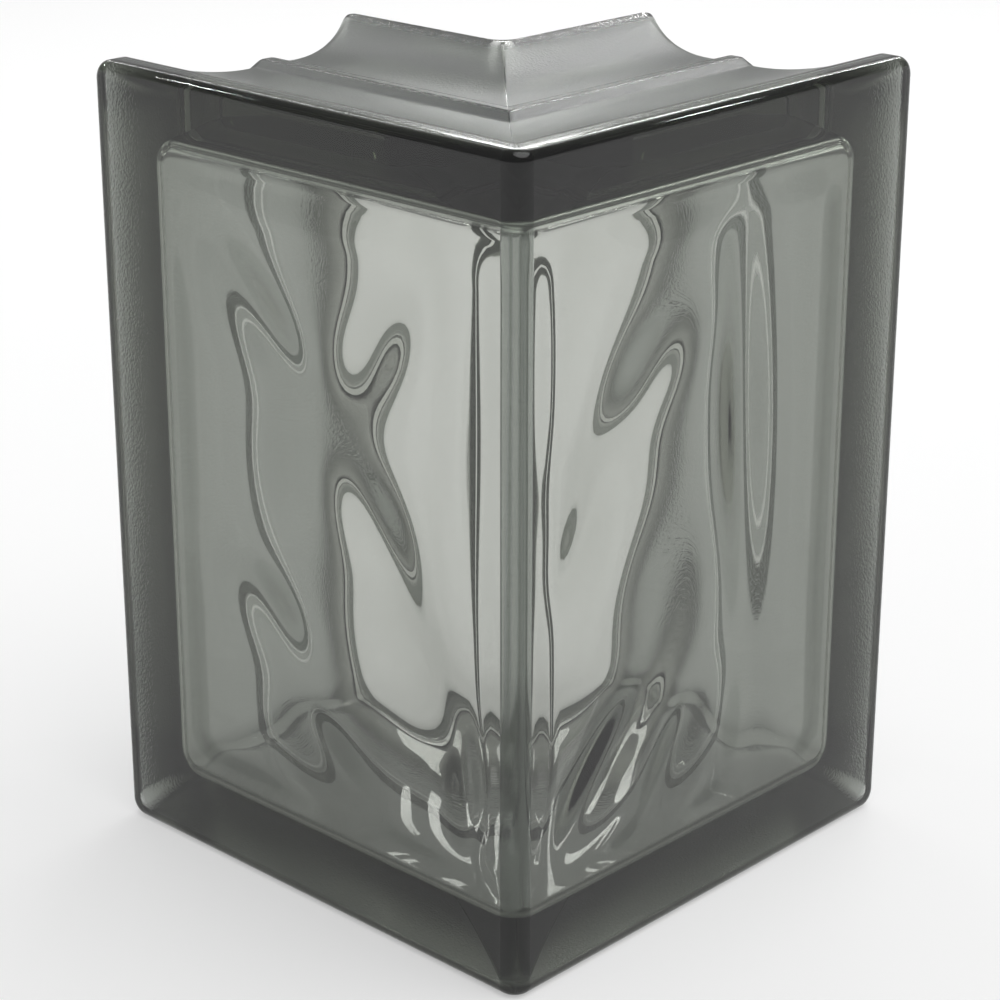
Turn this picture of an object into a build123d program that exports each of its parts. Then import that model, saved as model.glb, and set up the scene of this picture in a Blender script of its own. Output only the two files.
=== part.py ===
# Hollow glass block for the corner of a glass-block wall, 90 degrees, wavy inside.
#
# Two L-shaped half-shells of pressed glass are fused edge to edge round a sealed
# hollow. The outer half carries the two large faces that meet at the corner, the
# inner half the two narrow faces inside the corner. The edges all round are dished
# to key the mortar, with the bead of the weld at the bottom of the dish, and the
# inner side of all four faces is pressed into waves.
#
# Frame: +Z up, origin on the floor at the middle of the square footprint. The two
# large faces look along -X and -Y, and the legs run along +X and +Y. "Depth" is
# measured into the block from a large face, "along" from the corner along a leg.

import os
from math import cos, exp, radians, sin, tan

from build123d import *

# Overall sizes, mm
face_width = 132.0  # large face, from the corner to the end of the leg
block_height = 190.0
block_depth = 80.0  # thickness of the wall that the block builds

# Edge all round the block
weld_depth = 45.0  # plane in which the two halves are fused
key_depth = 6.6  # how far the bottom of the dished edge lies behind the rims
rim_land = 6.5  # flat strip next to the large faces, which the block stands on
inner_rim_land = 2.8  # the same next to the narrow faces
dish_floor = 1.0  # flat strip between the outer half's dish and the weld bead
inner_dish_floor = 5.0
bead_height = 1.3  # weld bead, above the bottom of the dish
bead_top = 2.5
bead_flank = 4.5  # run of the bead's slope on the outer half
inner_bead_flank = 1.5
rim_round = 2.4  # rounded edge between a face and its rim
corner_round = 4.5  # corners of the faces, and the edge where the large faces meet
inner_corner_round = 3.0  # where the two narrow faces meet

# Glass
plate_thickness = 6.0  # faces, where no ripple swells them
side_wall = 7.2  # edges, at the weld
press_draft = 3.5  # degrees, taper of the hollow from the weld towards a face
hollow_corner_round = 6.5  # corners of the hollow, seen through a face

# Waves: each ripple is a long soft swelling of the plate, given as
# (along, up, lean in degrees, half width, half length, height)
ripples_x_face = [
    (46, 138, -38, 9, 18, 1.3),
    (47, 101, 42, 9, 15, 1.4),
    (84, 140, 48, 9, 21, 2.0),
    (73, 108, 0, 11, 16, 1.2),
    (82, 69, 50, 9, 15, 1.7),
    (36, 170, 0, 12, 14, 0.8),
    (39, 76, 10, 12, 16, 1.2),
    (14, 125, 0, 8, 50, 0.5),
    (28, 64, 0, 9, 16, 0.8),
    (18, 46, 0, 6, 14, 1.2),
    (64, 38, 50, 10, 18, 1.5),
]
ripples_y_face = [
    (30, 174, 20, 13, 16, 1.2),
    (46, 135, 52, 9, 15, 1.5),
    (29, 113, 22, 15, 14, 1.1),
    (23, 98, 30, 8, 12, 0.8),
    (54, 80, 15, 12, 18, 1.1),
    (79, 112, -4, 9.5, 50, 2.4),
    (32, 44, 42, 8, 22, 2.0),
    (56, 40, 30, 8, 18, 1.5),
    (84, 36, -10, 12, 18, 1.2),
]
ripples_inner_face = [
    (96, 130, 8, 8, 34, 1.2),
    (98, 60, -10, 8, 32, 1.2),
]
wave_step = 6.0  # spacing of the points that the wavy surfaces pass through

corner = -face_width / 2
middle_height = block_height / 2
hollow_inset = key_depth + side_wall  # of the hollow at the weld, behind the rims
inner_plate_depth = block_depth - plate_thickness
tolerance = 0.01

# A leg's cross-section has depth along its X and height along its Y. The plan has
# depth along its X and the leg's length along its Y, and is seen from below.
leg_section = Plane(
    origin=(corner, corner, middle_height), x_dir=(0, 1, 0), z_dir=(1, 0, 0)
)
leg_plan = Plane(
    origin=(corner, corner, block_height), x_dir=(0, 1, 0), z_dir=(0, 0, -1)
)
leg_front = Plane(
    origin=(corner, corner, middle_height), x_dir=(1, 0, 0), z_dir=(0, -1, 0)
)
mitre = Plane(origin=(corner, corner, 0), x_dir=(1, 1, 0), z_dir=(1, -1, 0))


def wave(ripples, along, up):
    """How far the ripples swell the plate here."""
    height = 0
    for centre_along, centre_up, lean, half_width, half_length, swell in ripples:
        right, rise = along - centre_along, up - centre_up
        across = right * cos(radians(lean)) - rise * sin(radians(lean))
        lengthwise = right * sin(radians(lean)) + rise * cos(radians(lean))
        height += swell * exp(-((across / half_width) ** 2) - (lengthwise / half_length) ** 2)
    return height


def steps(start, end):
    """Evenly spaced places from start to end, about wave_step apart."""
    count = round((end - start) / wave_step)
    return [start + (end - start) * i / count for i in range(count + 1)]


def wavy_face(ripples, depth, inward, start, place):
    """A wavy surface at this depth, from before the corner between the legs to past a leg's end."""
    points = [
        [place(along, depth + inward * wave(ripples, along, up), up) for up in steps(0, block_height)]
        for along in steps(start, face_width)
    ]
    return Face.make_surface_from_array_of_points(points)


def on_x_leg(along, depth, up):
    return Vector(corner + along, corner + depth, up)


def on_y_leg(along, depth, up):
    return Vector(corner + depth, corner + along, up)


def dished_edge(rim, reach):
    """From a face's rim to the crest of the weld bead, at this reach from the middle."""
    if rim < weld_depth:
        inward, land, floor, flank = 1, rim_land, dish_floor, bead_flank
    else:
        inward, land, floor, flank = -1, inner_rim_land, inner_dish_floor, inner_bead_flank
    land_end = (rim + inward * land, reach)
    bottom = reach - key_depth
    bead_edge = weld_depth - inward * bead_top / 2
    bead_foot = bead_edge - inward * flank
    dish_end = (bead_foot - inward * floor, bottom)
    Line((rim, reach), land_end)
    TangentArc(dish_end, land_end, tangent=(-inward, 0))
    Polyline(
        dish_end,
        (bead_foot, bottom),
        (bead_edge, bottom + bead_height),
        (weld_depth, bottom + bead_height),
    )


def drafted_wall(face_end, reach):
    """The side of the hollow, from near a face to the weld."""
    taper = abs(face_end - weld_depth) * tan(radians(press_draft))
    Line((face_end, reach - hollow_inset - taper), (weld_depth, reach - hollow_inset))


def leg_profile(plane, edge, start, reach):
    """Half a leg's profile: its edge, closed along its start, its middle and the weld."""
    with BuildSketch(plane) as profile:
        with BuildLine() as outline:
            edge(start, reach)
            ends = outline.vertices().sort_by(Axis.X)
            first, last = ends[0], ends[-1]
            Polyline((first.X, first.Y), (first.X, 0), (last.X, 0), (last.X, last.Y))
        make_face()
    return profile.sketch


def is_crease(edge):
    """Whether an edge runs between a leg's end and its top or bottom."""
    middle = edge @ 0.5
    below_top = middle_height - abs(middle.Z - middle_height)
    from_end = corner + face_width - middle.X
    return abs(below_top - from_end) < tolerance


def leg(edge, start):
    """The leg along +X, from its start in depth to the weld."""
    extrude(leg_profile(leg_section, edge, start, middle_height), amount=face_width)
    mirror(about=Plane.XY.offset(middle_height))
    extrude(
        leg_profile(leg_plan, edge, start, face_width),
        amount=block_height,
        mode=Mode.INTERSECT,
    )


def round_face_corners():
    """Round the corners of the face at the end of the leg along +X."""
    with BuildSketch(leg_front) as outline:
        Rectangle(2 * face_width, block_height)
        top_corners = outline.vertices().group_by(Axis.Y)[-1]
        fillet(top_corners, radius=corner_round)
        mirror(about=Plane.XZ, mode=Mode.INTERSECT)
    extrude(outline.sketch, amount=block_depth, both=True, mode=Mode.INTERSECT)


def bend():
    """Cut the leg at the mitre and add its mirror image, the leg along +Y."""
    split(bisect_by=mitre)
    mirror(about=mitre)


# Hollow of the outer half, open at the weld, with a wavy surface behind each face
with BuildPart() as outer_hollow:
    leg(drafted_wall, plate_thickness / 2)
    fillet(outer_hollow.edges().filter_by(is_crease), radius=hollow_corner_round)
    bend()
    extrude(
        wavy_face(ripples_y_face, plate_thickness, 1, 0, on_x_leg),
        amount=face_width,
        dir=(0, 1, 0),
        mode=Mode.INTERSECT,
    )
    extrude(
        wavy_face(ripples_x_face, plate_thickness, 1, 0, on_y_leg),
        amount=face_width,
        dir=(1, 0, 0),
        mode=Mode.INTERSECT,
    )

# The glass that stands between the inner half's hollow and the narrow faces
with BuildPart() as inner_plates:
    extrude(
        wavy_face(ripples_inner_face, inner_plate_depth, -1, weld_depth, on_x_leg),
        amount=face_width,
        dir=(0, 1, 0),
    )
    extrude(
        wavy_face(ripples_inner_face, inner_plate_depth, -1, weld_depth, on_y_leg),
        amount=face_width,
        dir=(1, 0, 0),
        mode=Mode.INTERSECT,
    )

with BuildPart() as inner_hollow:
    leg(drafted_wall, block_depth - plate_thickness / 2)
    fillet(inner_hollow.edges().filter_by(is_crease), radius=hollow_corner_round)
    bend()
    add(inner_plates.part, mode=Mode.SUBTRACT)

# Outer half: two large faces, the outer rims and the edges back to the weld
with BuildPart() as outer_half:
    leg(dished_edge, 0)
    round_face_corners()
    bend()
    face_corner = outer_half.edges().filter_by(Axis.Z).sort_by_distance((corner, corner, middle_height))[0]
    fillet(face_corner, radius=corner_round)
    large_face = outer_half.faces().sort_by(Axis.X)[0]
    fillet(large_face.edges().sort_by(Axis.Z)[-1], radius=rim_round)
    add(outer_hollow.part, mode=Mode.SUBTRACT)

# Inner half: two narrow faces inside the corner, the inner rims and their edges
with BuildPart() as inner_half:
    leg(dished_edge, block_depth)
    round_face_corners()
    bend()
    inside = corner + block_depth
    face_corner = inner_half.edges().filter_by(Axis.Z).sort_by_distance((inside, inside, middle_height))[0]
    fillet(face_corner, radius=inner_corner_round)
    narrow_face = inner_half.faces().sort_by_distance((inside, inside + rim_land, middle_height))[0]
    fillet(narrow_face.edges().sort_by(Axis.Z)[-1], radius=rim_round)
    add(inner_hollow.part, mode=Mode.SUBTRACT)

os.makedirs("parts", exist_ok=True)
for name, half in (("outer_half", outer_half), ("inner_half", inner_half)):
    half.part.label = name
    export_step(half.part, f"parts/{name}.step")
    print(name, "glass", round(half.part.volume / 1000, 1), "cm3")
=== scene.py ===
# Hollow corner glass block: grey-green glass with wavy faces and satin, dished edges.
#
# The two pressed halves are fused in the real block, so one closed mesh of glass
# stands for both: an outer skin and the skin of the sealed hollow inside it.
# "Depth" is measured into the block from a large face, "along" from the corner
# along a leg, "up" from the floor. Lengths are in millimetres until the mesh is made.

from math import cos, pi, radians, sin, sqrt, tan

import bpy
import numpy as np
from mathutils import Matrix, Vector


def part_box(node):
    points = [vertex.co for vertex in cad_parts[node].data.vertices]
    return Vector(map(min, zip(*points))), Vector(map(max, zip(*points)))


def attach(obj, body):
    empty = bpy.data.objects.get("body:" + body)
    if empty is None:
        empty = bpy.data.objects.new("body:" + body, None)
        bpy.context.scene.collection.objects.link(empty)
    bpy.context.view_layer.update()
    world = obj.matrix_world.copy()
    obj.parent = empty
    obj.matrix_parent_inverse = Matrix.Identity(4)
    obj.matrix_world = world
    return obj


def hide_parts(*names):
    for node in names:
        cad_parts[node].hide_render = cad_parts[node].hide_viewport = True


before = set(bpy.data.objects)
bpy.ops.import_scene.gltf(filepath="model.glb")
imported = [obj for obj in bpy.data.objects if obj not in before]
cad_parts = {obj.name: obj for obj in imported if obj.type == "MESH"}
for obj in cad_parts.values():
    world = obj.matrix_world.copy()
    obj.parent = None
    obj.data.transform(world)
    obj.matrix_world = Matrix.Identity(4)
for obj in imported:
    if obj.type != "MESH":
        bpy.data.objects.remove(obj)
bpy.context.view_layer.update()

MM = 0.001

# Overall sizes, from the frame
block_low, block_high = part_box("outer_half")
inner_low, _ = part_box("inner_half")
corner = block_low[0] / MM
face_width = (block_high[0] - block_low[0]) / MM
block_height = (block_high[2] - block_low[2]) / MM
weld_depth = (inner_low[0] - block_low[0]) / MM
block_depth = 80.0

# Edge all round the block, as in the CAD
key_depth = 6.6  # how far the bottom of the dished edge lies behind the rims
rim_land = 6.5  # flat strip next to the large faces
inner_rim_land = 2.8  # the same next to the narrow faces
dish_floor = 1.0  # flat strip between the dish and the weld bead, on the outer half
inner_dish_floor = 5.0
bead_height = 1.3
bead_top = 2.5
bead_flank = 4.5  # run of the bead's slope, on the outer half
inner_bead_flank = 1.5
rim_round = 2.4
corner_round = 4.5
inner_corner_round = 3.0
crease_round = 0.8  # along the mitre, between the rims

# Hollow
plate_thickness = 7.0  # at the edges of a face, beside the waves
side_wall = 7.2  # at the weld
press_draft = 3.5  # degrees
hollow_corner_round = 6.5
hollow_foot_round = 3.5  # between the side walls and the plates
hollow_mitre_round = 0.8

# Waves: each ripple is a long soft swelling of the plate, given as
# (along, up, lean in degrees, half width, half length, height)
ripples_x_face = [
    (46, 138, -38, 9, 18, 1.3),
    (47, 101, 42, 9, 15, 1.4),
    (84, 140, 48, 9, 21, 2.0),
    (73, 108, 0, 11, 16, 1.2),
    (82, 69, 50, 9, 15, 1.7),
    (36, 170, 0, 12, 14, 0.8),
    (39, 76, 10, 12, 16, 1.2),
    (14, 125, 0, 8, 50, 0.5),
    (28, 64, 0, 9, 16, 0.8),
    (18, 46, 0, 6, 14, 1.2),
    (64, 38, 50, 10, 18, 1.5),
]
ripples_y_face = [
    (30, 174, 20, 13, 16, 1.2),
    (46, 135, 52, 9, 15, 1.5),
    (29, 113, 22, 15, 14, 1.1),
    (23, 98, 30, 8, 12, 0.8),
    (54, 80, 15, 12, 18, 1.1),
    (79, 112, -4, 9.5, 50, 2.4),
    (32, 44, 42, 8, 22, 2.0),
    (56, 40, 30, 8, 18, 1.5),
    (84, 36, -10, 12, 18, 1.2),
]
ripples_inner_face = [
    (96, 130, 8, 8, 34, 1.2),
    (98, 60, -10, 8, 32, 1.2),
]
wave_rest = -1.0  # height of the plate between the ripples, against its edges
wave_fade = 11.0  # run over which the waves rise from the edges of a face
mitre_fade = 8.0  # the same, from the corner between the legs

# Steps of the mesh
mitre_steps = 4  # half of the rounded corner between the legs
corner_steps = 5  # half of a rounded corner of a face
rim_steps = 8  # round a rim
land_steps = 3  # across the rest of the land
foot_steps = 6  # round the foot of a side wall
wall_steps = 8  # from one foot to the other
dish_steps = (24, 20)  # points on the outer and the inner half's dish
outer_steps = (44, 60)  # across and up a face of the outer skin
hollow_steps = (92, 132)  # the same on the skin of the hollow
seam_step = 0.3  # first run of a face beside the corner between the legs
near = 0.1  # how close to an edge its own vertices are

# Glass
glass_tint = (0.611, 0.628, 0.587)
glass_density = 125.0  # per metre
glass_ior = 1.52
satin_roughness = 0.28
satin_colour = (0.40, 0.43, 0.405)
satin_cover = 0.22  # share of the satin that lets no light through
worn_satin = 0.15  # what is left of it on the edges of the bead and the lands, and on the mitre
grain_scale = 1300.0  # per metre
grain_detail = 3.0
grain_depth = 0.00012  # metres
# Painted shade: a darker base colour on the edge where the large faces meet and on the bead's slope
painted_shade_colour = (0.32, 0.35, 0.33)  # where the large faces meet, and on the bead's slope
corner_roughness = 0.12

# Studio
room_level = 0.33
sun_level = 0.5
floor_colour = (0.95, 0.95, 0.95)
floor_roughness = 0.8
floor_half_size = 30.0  # metres
floor_drop = 0.0002  # metres, so that the floor and the block's lands don't share a plane
background_share = 0.4  # of the floor that shows as plain white
glint_power = 0.6


def smooth(value):
    """Soft step from 0 to 1."""
    value = np.clip(value, 0.0, 1.0)
    return value * value * (3.0 - 2.0 * value)


def wave(ripples, along, up):
    """How far a wavy surface stands out of the plate's surface at its edges."""
    height = np.full(np.shape(along), wave_rest)
    for centre_along, centre_up, lean, half_width, half_length, swell in ripples:
        right, rise = along - centre_along, up - centre_up
        across = right * cos(radians(lean)) - rise * sin(radians(lean))
        lengthwise = right * sin(radians(lean)) + rise * cos(radians(lean))
        height = height + swell * np.exp(-((across / half_width) ** 2) - (lengthwise / half_length) ** 2)
    return height


class Window:
    """The outline of a layer at one depth: a rounded rectangle bent round the corner."""

    def __init__(self, depth, recess, corner_radius, mitre_radius):
        self.depth = depth
        self.end = face_width - recess
        self.low = recess
        self.high = block_height - recess
        self.corner_radius = corner_radius
        self.mitre_radius = mitre_radius


def outline_points(window, across_steps, up_steps):
    """Half an outline, as (along, up): the bottom, the leg's end and the top.

    The first mitre_steps of the bottom and top lie on the rounded corner between the
    legs, and the last corner_steps on half of the leg's own rounded corner.
    """
    r = window.corner_radius
    start = window.depth + window.mitre_radius
    straight = across_steps - mitre_steps - corner_steps
    flat = np.linspace(start + seam_step, window.end - r, straight)
    flat = np.concatenate([[start], flat])
    turn = np.linspace(0, pi / 4, corner_steps + 1)[1:]
    run = np.concatenate([np.full(mitre_steps, start), flat, window.end - r + r * np.sin(turn)])
    lift = np.concatenate([np.zeros(mitre_steps + straight + 1), r - r * np.cos(turn)])
    bottom = np.stack([run, window.low + lift], axis=1)
    top = np.stack([run, window.high - lift], axis=1)
    middle = np.linspace(window.low + r, window.high - r, up_steps - 2 * corner_steps + 1)
    back = np.linspace(pi / 4, 0, corner_steps + 1)[:-1]
    end_up = np.concatenate([
        window.low + r - r * np.sin(back),
        middle,
        window.high - r + r * np.sin(back[::-1]),
    ])
    end_along = np.concatenate([
        window.end - r + r * np.cos(back),
        np.full(len(middle), window.end),
        window.end - r + r * np.cos(back[::-1]),
    ])
    end = np.stack([end_along, end_up], axis=1)
    return bottom, end, top


def place(window, along, up, depth, step):
    """Points of the leg along +X from (along, up, depth), with the corner rounded.

    step counts from the mitre; the first mitre_steps of them go round the corner.
    """
    turn = np.clip(1 - step / mitre_steps, 0, 1) * pi / 4
    radius = window.mitre_radius
    x = np.where(step <= mitre_steps, window.depth + radius - radius * np.sin(turn), along)
    y = depth + np.where(step <= mitre_steps, radius - radius * np.cos(turn), 0.0)
    return np.stack([corner + x, corner + y, up], axis=-1)


def face_grid(window, across_steps, up_steps, bulge=None):
    """Points of a face of the leg along +X, filled in between its outline."""
    bottom, end, top = outline_points(window, across_steps, up_steps)
    u = ((bottom[:, 0] - bottom[0, 0]) / (bottom[-1, 0] - bottom[0, 0]))[:, None]
    v = ((end[:, 1] - end[0, 1]) / (end[-1, 1] - end[0, 1]))[None, :]
    start_along = bottom[0, 0]
    along = (1 - v) * bottom[:, 0][:, None] + v * top[:, 0][:, None]
    along = along + (1 - u) * start_along + u * end[:, 0][None, :]
    along = along - ((1 - u) * start_along + u * ((1 - v) * bottom[-1, 0] + v * top[-1, 0]))
    up_start = (1 - v) * bottom[0, 1] + v * top[0, 1]
    up = (1 - v) * bottom[:, 1][:, None] + v * top[:, 1][:, None]
    up = up + (1 - u) * up_start + u * end[:, 1][None, :]
    up = up - ((1 - u) * up_start + u * ((1 - v) * bottom[-1, 1] + v * top[-1, 1]))
    depth = np.full(along.shape, float(window.depth))
    if bulge is not None:
        depth = depth + bulge(window, along, up)
    step = np.broadcast_to(np.arange(across_steps + 1)[:, None], along.shape)
    return place(window, along, up, depth, step)


def outline_loop(window, across_steps, up_steps):
    """The outline of a layer on the leg along +X, from the mitre's bottom to its top."""
    bottom, end, top = outline_points(window, across_steps, up_steps)
    points = np.concatenate([bottom, end[1:], top[::-1][1:]])
    step = np.concatenate([
        np.arange(across_steps + 1),
        np.full(up_steps, across_steps),
        np.arange(across_steps + 1)[::-1][1:],
    ])
    return place(window, points[:, 0], points[:, 1], np.full(len(points), float(window.depth)), step)


def skin(windows, across_steps, up_steps, outward, bulge_outer=(None, None), bulge_inner=(None, None)):
    """Vertices and faces of a closed skin: two faces and the layers between them."""
    vertices, faces = [], []

    def add_sheet(points, flip):
        count_i, count_j = points.shape[:2]
        first = sum(len(v) for v in vertices)
        vertices.append(points.reshape(-1, 3))
        index = first + np.arange(count_i * count_j).reshape(count_i, count_j)
        quads = np.stack([index[:-1, :-1], index[1:, :-1], index[1:, 1:], index[:-1, 1:]], axis=-1)
        quads = quads.reshape(-1, 4)
        faces.append(quads[:, ::-1] if flip else quads)

    for leg in (0, 1):
        swap = [0, 1, 2] if leg == 0 else [1, 0, 2]
        flip = (leg == 1) != (not outward)
        front = face_grid(windows[0], across_steps, up_steps, bulge_outer[leg])
        back = face_grid(windows[-1], across_steps, up_steps, bulge_inner[leg])
        sides = np.stack([outline_loop(w, across_steps, up_steps) for w in windows], axis=1)
        add_sheet(front[..., swap], flip)
        add_sheet(back[..., swap], not flip)
        add_sheet(sides[..., swap], not flip)
    return np.concatenate(vertices), np.concatenate(faces)


def mitre_radius(depth):
    """Rounding of the outer skin where the legs meet, at this depth."""
    inner_rim = block_depth - rim_round
    known = [0, rim_round, corner_round, block_depth - inner_rim_land, inner_rim, block_depth]
    radii = [
        corner_round,
        corner_round - rim_round,
        crease_round,
        crease_round,
        inner_corner_round + rim_round,
        inner_corner_round,
    ]
    return float(np.interp(depth, known, radii))


def edge_profile():
    """The dished edge from land to land, as (depth, recess behind the rims)."""
    profile = []

    def dish(land_end, dish_end, count):
        """The arc that starts at an angle to the land and ends along the dish's floor."""
        run = abs(dish_end - land_end)
        radius = (run**2 + key_depth**2) / (2 * key_depth)
        for depth in np.linspace(land_end, dish_end, count):
            profile.append((depth, key_depth - radius + sqrt(radius**2 - (dish_end - depth) ** 2)))

    def straight(start, end, start_recess, end_recess, count):
        for share in np.linspace(0, 1, count + 1)[1:]:
            recess = start_recess + (end_recess - start_recess) * share
            profile.append((start + (end - start) * share, recess))

    bead_edges = (weld_depth - bead_top / 2, weld_depth + bead_top / 2)
    bead_feet = (bead_edges[0] - bead_flank, bead_edges[1] + inner_bead_flank)
    dish_ends = (bead_feet[0] - dish_floor, bead_feet[1] + inner_dish_floor)
    crest = key_depth - bead_height
    dish(rim_land, dish_ends[0], dish_steps[0])
    straight(dish_ends[0], bead_feet[0], key_depth, key_depth, 2)
    straight(bead_feet[0], bead_edges[0], key_depth, crest, 6)
    straight(bead_edges[0], bead_edges[1], crest, crest, 6)
    straight(bead_edges[1], bead_feet[1], crest, key_depth, 4)
    straight(bead_feet[1], dish_ends[1], key_depth, key_depth, 6)
    inner_dish = len(profile)
    dish(block_depth - inner_rim_land, dish_ends[1], dish_steps[1])
    profile[inner_dish:] = profile[inner_dish:-1][::-1]
    return profile


def outer_windows():
    """The outer skin's layers, from the large faces to the narrow ones."""
    layers = []

    def add(depth, recess, corner_radius):
        layers.append(Window(depth, recess, corner_radius, mitre_radius(depth)))

    quarter = np.linspace(0, pi / 2, rim_steps + 1)
    for angle in quarter:
        recess = rim_round - rim_round * sin(angle)
        add(rim_round - rim_round * cos(angle), recess, corner_round - recess)
    for depth in np.linspace(rim_round, rim_land, land_steps + 1)[1:-1]:
        add(depth, 0.0, corner_round)
    for depth, recess in edge_profile():
        add(depth, recess, corner_round)
    for angle in quarter[::-1]:
        recess = rim_round - rim_round * sin(angle)
        depth = block_depth - rim_round + rim_round * cos(angle)
        add(depth, recess, corner_round - recess)
    return layers


def hollow_recess(depth):
    """How far the side of the hollow lies behind the rims."""
    return key_depth + side_wall + abs(depth - weld_depth) * tan(radians(press_draft))


def hollow_windows():
    """The hollow's layers, from behind the large faces to behind the narrow ones."""
    layers = []
    foot = hollow_foot_round
    plates = (plate_thickness, block_depth - plate_thickness)
    turns = np.linspace(0, pi / 2, foot_steps + 1)

    def add(depth, inset):
        recess = hollow_recess(depth) + inset
        layers.append(Window(depth, recess, hollow_corner_round - inset, hollow_mitre_round))

    for angle in turns:
        add(plates[0] + foot - foot * cos(angle), foot - foot * sin(angle))
    for depth in np.linspace(plates[0] + foot, plates[1] - foot, wall_steps + 1)[1:-1]:
        add(depth, 0.0)
    for angle in turns[::-1]:
        add(plates[1] - foot + foot * cos(angle), foot - foot * sin(angle))
    return layers


def bulge(ripples, inward):
    """The waves of one plate, fading out towards the edges of its window."""

    def depth_change(window, along, up):
        to_start = along - window.depth - window.mitre_radius
        to_end = window.end - along
        to_low, to_high = up - window.low, window.high - up
        fade = smooth(to_start / mitre_fade) * smooth(to_end / wave_fade)
        fade = fade * smooth(to_low / wave_fade) * smooth(to_high / wave_fade)
        return inward * fade * wave(ripples, along, up)

    return depth_change


def area_weighted_normals(points, quads):
    """Vertex normals in which a large flat face outweighs the small ones beside it."""
    a, b, c, d = (points[quads[:, k]] for k in range(4))
    face_normals = np.cross(c - a, d - b)
    normals = np.zeros_like(points)
    for k in range(4):
        np.add.at(normals, quads[:, k], face_normals)
    return normals


def weld_vertices(points, quads):
    """Join the points that lie on each other, as on the mitre."""
    keys = np.round(points, 4)
    _, first, inverse = np.unique(keys, axis=0, return_index=True, return_inverse=True)
    return points[first], inverse.reshape(-1)[quads]


def satin_of(depth, on_mitre):
    """1 on the dished edges, less where it is worn, and 0 on everything pressed smooth."""
    between_rims = smooth((depth - rim_round) / 2) * smooth((block_depth - rim_round - depth) / 2)
    worn_edges = [
        rim_land,
        weld_depth - bead_top / 2,
        weld_depth + bead_top / 2,
        block_depth - inner_rim_land,
    ]
    on_worn_edge = np.min([np.abs(depth - edge) for edge in worn_edges], axis=0) < near
    return between_rims * np.where(on_worn_edge | on_mitre, worn_satin, 1.0)


def painted_shade_of(depth, on_corner):
    """1 where shade is painted: on the edge where the large faces meet, dark from both walls, and on the
    bead's slope.
    """
    slope_end = weld_depth - bead_top / 2
    on_slope = (depth > slope_end - bead_flank + near) & (depth < slope_end - near)
    return np.where(on_corner | on_slope, 1.0, 0.0)


def glass_block():
    """The fused block as one mesh: its outer skin and the skin of its hollow."""
    outer_points, outer_quads = skin(outer_windows(), *outer_steps, outward=True)
    hollow_points, hollow_quads = skin(
        hollow_windows(), *hollow_steps, outward=False,
        bulge_outer=(bulge(ripples_y_face, 1), bulge(ripples_x_face, 1)),
        bulge_inner=(bulge(ripples_inner_face, -1), bulge(ripples_inner_face, -1)),
    )
    outer_points, outer_quads = weld_vertices(outer_points, outer_quads)
    hollow_points, hollow_quads = weld_vertices(hollow_points, hollow_quads)
    points = np.concatenate([outer_points, hollow_points])
    quads = np.concatenate([outer_quads, hollow_quads + len(outer_points)])
    normals = area_weighted_normals(points, quads)
    normals /= np.linalg.norm(normals, axis=1)[:, None]

    mesh = bpy.data.meshes.new("glass_block")
    mesh.from_pydata((points * MM).tolist(), [], quads.tolist())
    mesh.validate()
    mesh.polygons.foreach_set("use_smooth", [True] * len(mesh.polygons))
    mesh.normals_split_custom_set_from_vertices(normals.tolist())

    x, y, _ = points.T
    depth = np.minimum(x, y) - corner
    marks = {
        "satin": satin_of(depth, on_mitre=np.abs(x - y) < near),
        # the shade mark says where shade is painted into the glass's base colour
        "shade": painted_shade_of(depth, on_corner=np.maximum(x, y) - corner < corner_round + near),
    }
    on_outer_skin = np.arange(len(points)) < len(outer_points)
    for name, values in marks.items():
        attribute = mesh.attributes.new(name, "FLOAT", "POINT")
        attribute.data.foreach_set("value", np.where(on_outer_skin, values, 0.0))

    block = bpy.data.objects.new("glass_block", mesh)
    bpy.context.scene.collection.objects.link(block)
    return block


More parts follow.
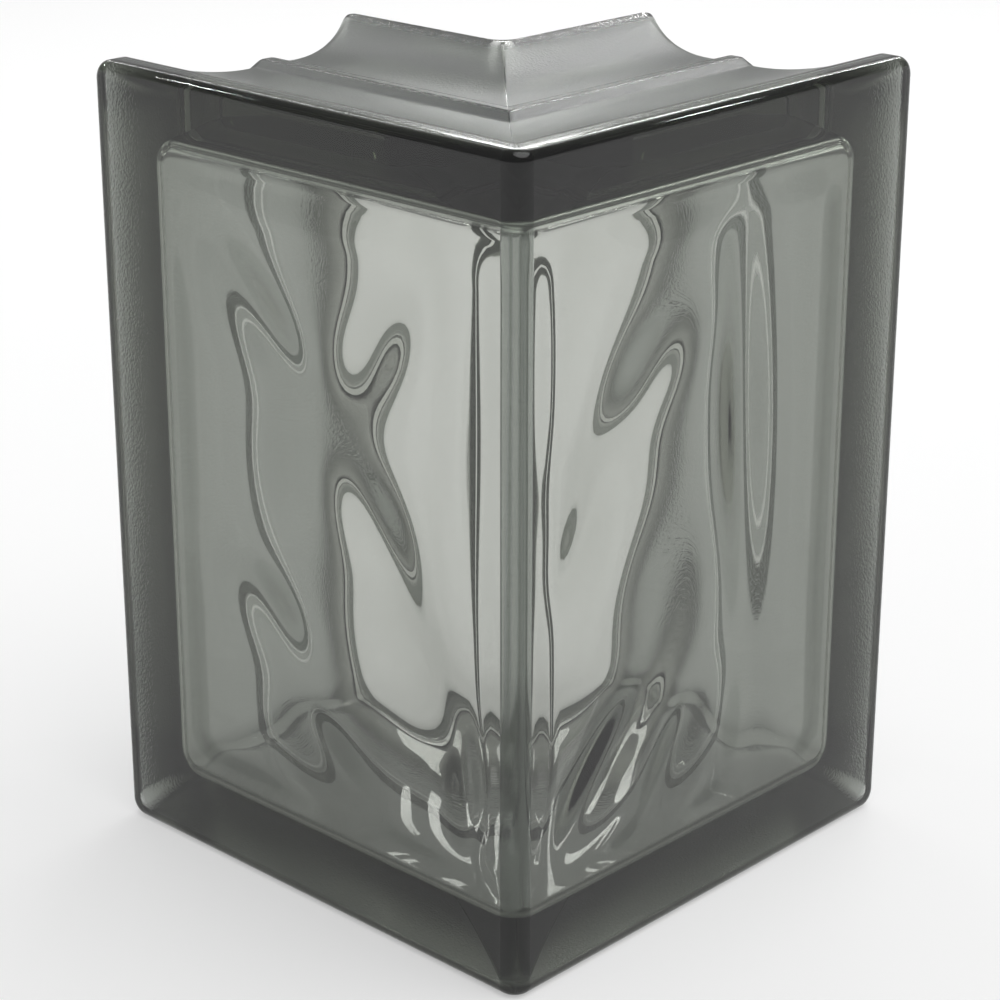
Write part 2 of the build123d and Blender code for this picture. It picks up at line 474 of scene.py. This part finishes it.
def glass_material():
    """Through-tinted glass: clear where it was pressed smooth, satin on the dished edges."""
    material = bpy.data.materials.new("tinted_glass")
    material.use_nodes = True
    nodes, links = material.node_tree.nodes, material.node_tree.links
    shader = nodes["Principled BSDF"]
    shader.inputs["Base Color"].default_value = (1, 1, 1, 1)
    shader.inputs["Transmission Weight"].default_value = 1.0
    shader.inputs["IOR"].default_value = glass_ior

    def mark(name):
        """A value that the mesh carries."""
        attribute = nodes.new("ShaderNodeAttribute")
        attribute.attribute_name = name
        return attribute.outputs["Fac"]

    def from_satin(name, polished, satin_value):
        """Blend a socket of the shader from its polished value to its satin one."""
        reach = nodes.new("ShaderNodeMapRange")
        if isinstance(polished, float):
            reach.inputs["To Min"].default_value = polished
        else:
            links.new(polished, reach.inputs["To Min"])
        reach.inputs["To Max"].default_value = satin_value
        links.new(satin, reach.inputs["Value"])
        links.new(reach.outputs["Result"], shader.inputs[name])

    def mix(blend, factor, first, second):
        colour = nodes.new("ShaderNodeMix")
        colour.data_type = "RGBA"
        colour.blend_type = blend
        for name, value in (("A", first), ("B", second)):
            if isinstance(value, tuple):
                colour.inputs[name].default_value = (*value, 1)
            else:
                links.new(value, colour.inputs[name])
        links.new(factor, colour.inputs["Factor"])
        return colour.outputs["Result"]

    # The rounded corner is a little rough, and the polished faces aren't at all
    satin, shade = mark("satin"), mark("shade")
    blur = nodes.new("ShaderNodeMath")
    blur.operation = "MULTIPLY"
    blur.inputs[1].default_value = corner_roughness
    links.new(shade, blur.inputs[0])
    from_satin("Roughness", blur.outputs["Value"], satin_roughness)
    from_satin("Transmission Weight", 1.0, 1 - satin_cover)

    surface = mix("MIX", satin, (1.0, 1.0, 1.0), satin_colour)
    # Painted shade: the base colour is darkened where the shade mark is 1
    surface = mix("MULTIPLY", shade, surface, painted_shade_colour)
    links.new(surface, shader.inputs["Base Color"])

    # Fine grain of the satin, left by the mould
    grain = nodes.new("ShaderNodeTexNoise")
    grain.inputs["Scale"].default_value = grain_scale
    grain.inputs["Detail"].default_value = grain_detail
    place_on = nodes.new("ShaderNodeTexCoord")
    links.new(place_on.outputs["Object"], grain.inputs["Vector"])
    relief = nodes.new("ShaderNodeBump")
    relief.inputs["Distance"].default_value = grain_depth
    links.new(grain.outputs["Fac"], relief.inputs["Height"])
    links.new(satin, relief.inputs["Strength"])
    links.new(relief.outputs["Normal"], shader.inputs["Normal"])

    # Tint through the whole thickness of the glass
    tint = nodes.new("ShaderNodeVolumeAbsorption")
    tint.inputs["Color"].default_value = (*glass_tint, 1)
    tint.inputs["Density"].default_value = glass_density
    links.new(tint.outputs["Volume"], nodes["Material Output"].inputs["Volume"])
    return material


def floor_material():
    """A pale floor, of which the camera and the glass see a share as plain white background."""
    material = bpy.data.materials.new("pale_floor")
    material.use_nodes = True
    nodes, links = material.node_tree.nodes, material.node_tree.links
    shader = nodes["Principled BSDF"]
    shader.inputs["Base Color"].default_value = (*floor_colour, 1)
    shader.inputs["Roughness"].default_value = floor_roughness
    ray = nodes.new("ShaderNodeLightPath")
    seen = ray.outputs["Is Camera Ray"]
    for kind in ("Is Glossy Ray", "Is Transmission Ray"):
        either = nodes.new("ShaderNodeMath")
        either.operation = "MAXIMUM"
        links.new(seen, either.inputs[0])
        links.new(ray.outputs[kind], either.inputs[1])
        seen = either.outputs["Value"]
    share = nodes.new("ShaderNodeMath")
    share.operation = "MULTIPLY"
    share.inputs[1].default_value = background_share
    links.new(seen, share.inputs[0])
    background = nodes.new("ShaderNodeEmission")
    background.inputs["Color"].default_value = (1, 1, 1, 1)
    background.inputs["Strength"].default_value = 1.0
    both = nodes.new("ShaderNodeMixShader")
    links.new(share.outputs["Value"], both.inputs["Fac"])
    links.new(shader.outputs["BSDF"], both.inputs[1])
    links.new(background.outputs["Emission"], both.inputs[2])
    links.new(both.outputs["Shader"], nodes["Material Output"].inputs["Surface"])
    return material


def make_floor():
    size = floor_half_size
    mesh = bpy.data.meshes.new("floor")
    mesh.from_pydata(
        [(-size, -size, 0), (size, -size, 0), (size, size, 0), (-size, size, 0)],
        [], [(0, 1, 2, 3)],
    )
    floor = bpy.data.objects.new("floor", mesh)
    floor.location.z = -floor_drop
    bpy.context.scene.collection.objects.link(floor)
    mesh.materials.append(floor_material())


def make_world():
    """The plain grey room round the block."""
    world = bpy.data.worlds.new("studio")
    bpy.context.scene.world = world
    world.use_nodes = True
    background = world.node_tree.nodes["Background"]
    background.inputs["Color"].default_value = (1, 1, 1, 1)
    background.inputs["Strength"].default_value = room_level


def area_lamp(name, place_mm, aim_mm, size_mm, power):
    """A rectangular lamp that looks at a point in or near the block."""
    lamp = bpy.data.lights.new(name, "AREA")
    lamp.shape = "RECTANGLE"
    lamp.size, lamp.size_y = size_mm[0] * MM, size_mm[1] * MM
    lamp.energy = power
    holder = bpy.data.objects.new(name, lamp)
    holder.location = Vector(place_mm) * MM
    holder.rotation_euler = (Vector(aim_mm) - Vector(place_mm)).to_track_quat("-Z", "Y").to_euler()
    bpy.context.scene.collection.objects.link(holder)


def make_glints():
    """Small bright lamps, seen as streaks in the rounded edges and the waves."""
    for number, (place_mm, size_mm) in enumerate([
        ((1100, -700, 900), (60, 60)),
        ((1250, -450, 800), (40, 60)),
        ((-700, 1100, 900), (60, 60)),
        ((-450, 1250, 800), (40, 60)),
    ]):
        area_lamp(f"glint_{number}", place_mm, (0, 0, 100), size_mm, glint_power)


def make_softboxes():
    """Lights behind the block, for its satin sheen, its bright edges and the ripples near the floor."""
    area_lamp("softbox", (950, 420, 900), (0, 0, 150), (500, 500), 1.3)
    area_lamp("softbox_left", (420, 950, 900), (0, 0, 150), (500, 500), 0.5)
    area_lamp("low_softbox", (990, 930, 645), (0, 0, 95), (130, 150), 0.4)
    area_lamp("tube", (950, 300, 850), (0, 0, 150), (700, 25), 1.4)
    area_lamp("tube_left", (300, 950, 850), (0, 0, 150), (700, 25), 0.5)


def make_sun():
    """The studio's wide soft light from above, even over the whole floor."""
    lamp = bpy.data.lights.new("soft_light", "SUN")
    lamp.energy = sun_level * pi
    lamp.angle = radians(60)
    holder = bpy.data.objects.new("soft_light", lamp)
    holder.rotation_euler = (radians(20), radians(5), 0)
    bpy.context.scene.collection.objects.link(holder)


def make_camera():
    """The photograph's camera, in millimetres and degrees in the block's frame."""
    position = Vector((-443.4, -419.8, 315.4))
    azimuth, elevation, roll = -46.467, 20.874, 0.04
    focal_over_width = 2.7191
    ahead = Vector((
        sin(-radians(azimuth)) * cos(radians(elevation)),
        cos(radians(azimuth)) * cos(radians(elevation)),
        -sin(radians(elevation)),
    ))
    right = ahead.cross(Vector((0, 0, 1))).normalized()
    up = right.cross(ahead)
    rotation = Matrix((right, up, -ahead)).transposed() @ Matrix.Rotation(radians(roll), 3, "Z")
    camera = bpy.data.cameras.new("camera")
    camera.sensor_width = 36.0
    camera.lens = focal_over_width * camera.sensor_width
    camera.clip_start = 0.01
    holder = bpy.data.objects.new("camera", camera)
    holder.matrix_world = Matrix.Translation(position * MM) @ rotation.to_4x4()
    bpy.context.scene.collection.objects.link(holder)
    bpy.context.scene.camera = holder


make_camera()
make_world()
make_floor()
make_sun()
make_glints()
make_softboxes()
block = glass_block()
block.data.materials.append(glass_material())
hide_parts("outer_half", "inner_half")
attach(block, "root")
bpy.context.scene.view_settings.view_transform = "Standard"
